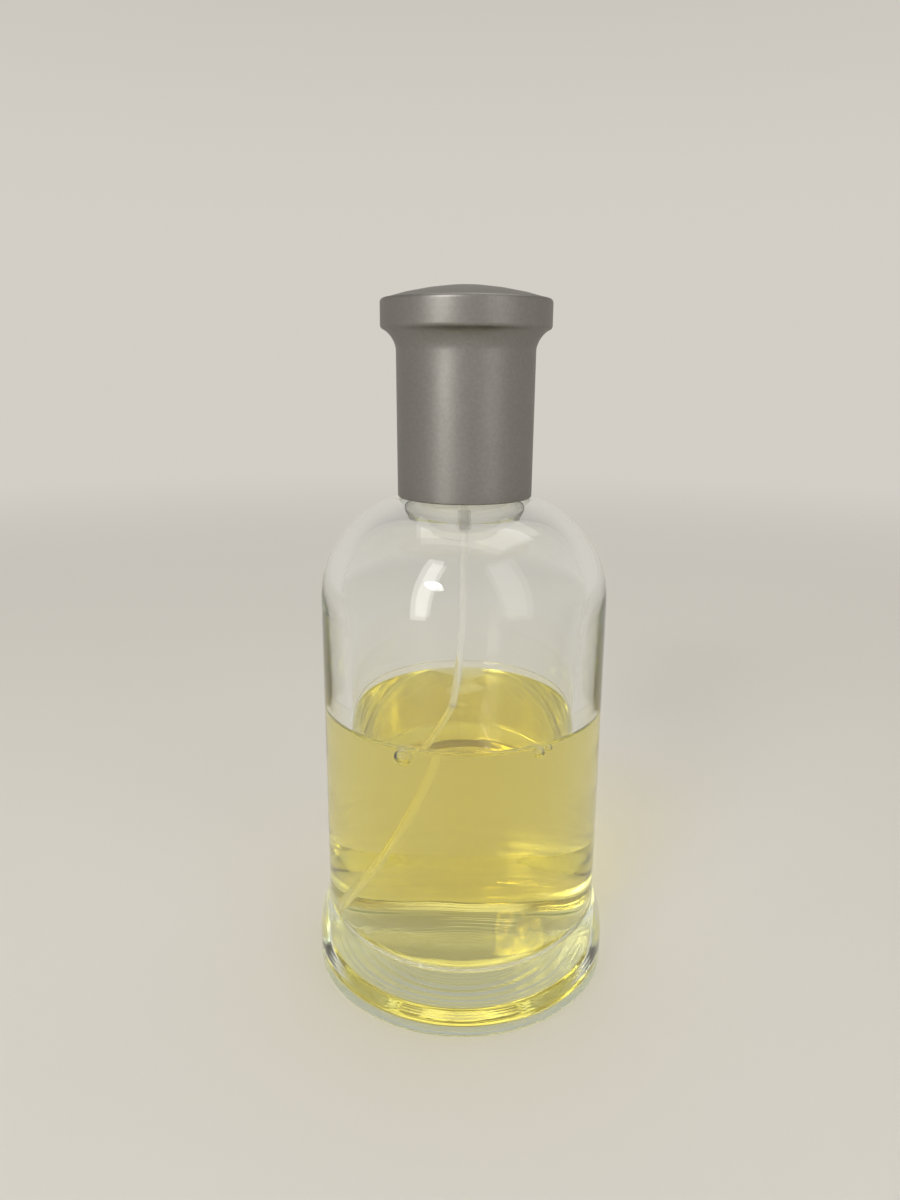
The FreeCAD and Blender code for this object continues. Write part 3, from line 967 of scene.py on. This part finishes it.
@dataclass
class Studio:
    """Pale floor, soft light and the camera.

    Lengths are in metres, apart from floor_level, aim, eye, lens and sensor, which are in millimetres.
    """

    floor_radius: float = 3.0
    floor_facets: int = 128
    floor_level: float = -0.15
    floor_tone: Colour = (0.75, 0.73, 0.69, 1.0)
    floor_shade: Colour = (0.72, 0.7, 0.66, 1.0)
    floor_drift: float = 3.0
    floor_marks: float = 8.0
    floor_rough: tuple[float, float] = (0.55, 0.65)
    floor_specular: float = 0.25
    floor_near: float = 0.2
    floor_far: float = 1.1
    horizon: Colour = (0.65, 0.62, 0.565, 1.0)
    horizon_top: float = 0.12
    zenith: Colour = (0.37, 0.355, 0.33, 1.0)
    zenith_foot: float = 0.85
    fill_light: Colour = (0.425, 0.41, 0.385, 1.0)
    aim: tuple[float, float, float] = (0.0, 0.0, 80.0)
    eye: tuple[float, float, float] = (-3.18, -204.6, 145.07)
    pitch: float = 75.4
    roll: float = 0.33
    lens: float = 27.03
    sensor: float = 36.0
    clip_start: float = 0.005
    clip_end: float = 20.0
    bounces: int = 32
    clear_bounces: int = 28
    shadow_bounces: int = 24
    lamps: tuple[Softbox, ...] = (
        Softbox("ceiling_lamp", azimuth=-27.0, elevation=33.0, distance=1.1, width=0.24, height=0.12,
                radiance=22.0, shape=LampShape.ELLIPSE),
        Softbox("left_strip", azimuth=-35.0, elevation=24.0, distance=1.1, width=0.26, height=1.5,
                radiance=3.8),
        Softbox("right_strip", azimuth=42.0, elevation=24.0, distance=1.2, width=0.5, height=1.5,
                radiance=1.0),
        Softbox("top_softbox", azimuth=160.0, elevation=74.0, distance=1.2, width=1.2, height=0.9,
                radiance=1.2),
    )

    def world(self) -> None:
        """Paints pale surroundings for the camera, metal and glass, and an even light for the rest."""
        world = bpy.data.worlds.new("surroundings")
        world.use_nodes = True
        bpy.context.scene.world = world
        tree = Tree(world.node_tree)
        where = tree.node("ShaderNodeTexCoord")
        parts = tree.node("ShaderNodeSeparateXYZ", {0: where.outputs["Generated"]})
        rise = tree.node("ShaderNodeMapRange", {
            "Value": parts.outputs["Z"], "From Min": self.horizon_top, "From Max": self.zenith_foot},
            interpolation_type="SMOOTHSTEP")
        sky = tree.node("ShaderNodeMix", {
            0: rise.outputs["Result"], 6: self.horizon, 7: self.zenith}, data_type="RGBA")
        seen = tree.node("ShaderNodeBackground", {"Color": sky.outputs[2], "Strength": 1.0})
        even = tree.node("ShaderNodeBackground", {"Color": self.fill_light, "Strength": 1.0})
        path = tree.node("ShaderNodeLightPath")
        both = tree.node("ShaderNodeMath", {
            0: path.outputs["Is Camera Ray"], 1: path.outputs["Is Glossy Ray"]}, operation="MAXIMUM")
        shown = tree.node("ShaderNodeMath", {
            0: both.outputs[0], 1: path.outputs["Is Transmission Ray"]}, operation="MAXIMUM")
        mix = tree.node("ShaderNodeMixShader", {
            0: shown.outputs[0], 1: even.outputs[0], 2: seen.outputs[0]})
        tree.node("ShaderNodeOutputWorld", {"Surface": mix.outputs[0]})

    def floor_material(self) -> bpy.types.Material:
        """Pale finish that turns into the surroundings' tone far from the flask.

        Returns:
            The material.
        """
        material = bpy.data.materials.new("pale_floor")
        material.use_nodes = True
        tree = Tree(material.node_tree)
        tone = tree.effect(Effect.DRIFT, {
            "Light": self.floor_tone, "Dark": self.floor_shade, "Scale": self.floor_drift})
        marks = tree.effect(Effect.MARKS, {
            "Scale": self.floor_marks, "Low": self.floor_rough[0], "High": self.floor_rough[1]})
        near = tree.node("ShaderNodeBsdfPrincipled", {
            "Base Color": tone.outputs["Color"], "Roughness": marks.outputs["Roughness"],
            "Specular IOR Level": self.floor_specular})
        far = tree.node("ShaderNodeEmission", {"Color": self.horizon, "Strength": 1.0})
        where = tree.node("ShaderNodeTexCoord")
        reach = tree.node("ShaderNodeVectorMath", {0: where.outputs["Object"]}, operation="LENGTH")
        share = tree.node("ShaderNodeMapRange", {
            "Value": reach.outputs["Value"], "From Min": self.floor_near, "From Max": self.floor_far},
            interpolation_type="SMOOTHSTEP")
        mix = tree.node("ShaderNodeMixShader", {
            0: share.outputs["Result"], 1: near.outputs[0], 2: far.outputs[0]})
        tree.node("ShaderNodeOutputMaterial", {"Surface": mix.outputs[0]})
        return material

    def floor(self) -> None:
        """Lays the pale floor, just under the flask's foot."""
        bm = bmesh.new()
        bmesh.ops.create_circle(bm, cap_ends=True, segments=self.floor_facets, radius=self.floor_radius,
                                matrix=Matrix.Translation((0.0, 0.0, self.floor_level * MM)))
        mesh = bpy.data.meshes.new("floor")
        bm.to_mesh(mesh)
        bm.free()
        mesh.materials.append(self.floor_material())
        floor = bpy.data.objects.new("floor", mesh)
        bpy.context.scene.collection.objects.link(floor)

    def camera(self) -> None:
        """Sets the camera at the photograph's place."""
        lens = bpy.data.cameras.new("camera")
        lens.lens = self.lens
        lens.sensor_width = self.sensor
        lens.clip_start = self.clip_start
        lens.clip_end = self.clip_end
        holder = bpy.data.objects.new("camera", lens)
        bpy.context.scene.collection.objects.link(holder)
        holder.matrix_world = (Matrix.Translation(Vector(self.eye) * MM)
                               @ Matrix.Rotation(math.radians(self.pitch), 4, "X")
                               @ Matrix.Rotation(math.radians(self.roll), 4, "Z"))
        bpy.context.scene.camera = holder

    def build(self) -> None:
        """Sets up camera, surroundings, floor and lamps, and lets light cross all the walls of the glass."""
        scene = bpy.context.scene
        scene.view_settings.view_transform = "Standard"
        scene.cycles.max_bounces = self.bounces
        scene.cycles.transmission_bounces = self.clear_bounces
        scene.cycles.glossy_bounces = self.clear_bounces
        scene.cycles.transparent_max_bounces = self.shadow_bounces
        self.camera()
        self.world()
        self.floor()
        for lamp in self.lamps:
            lamp.build(Vector(self.aim) * MM)


def main() -> None:
    """Builds the studio and every sub-assembly."""
    logging.basicConfig(level=logging.INFO, format="%(name)s: %(message)s")
    Studio().build()
    for part in (Flask(), DipTube(), Pump(), Closure(), SprayHead(), Cap()):
        part.build()


if __name__ == "__main__":
    main()
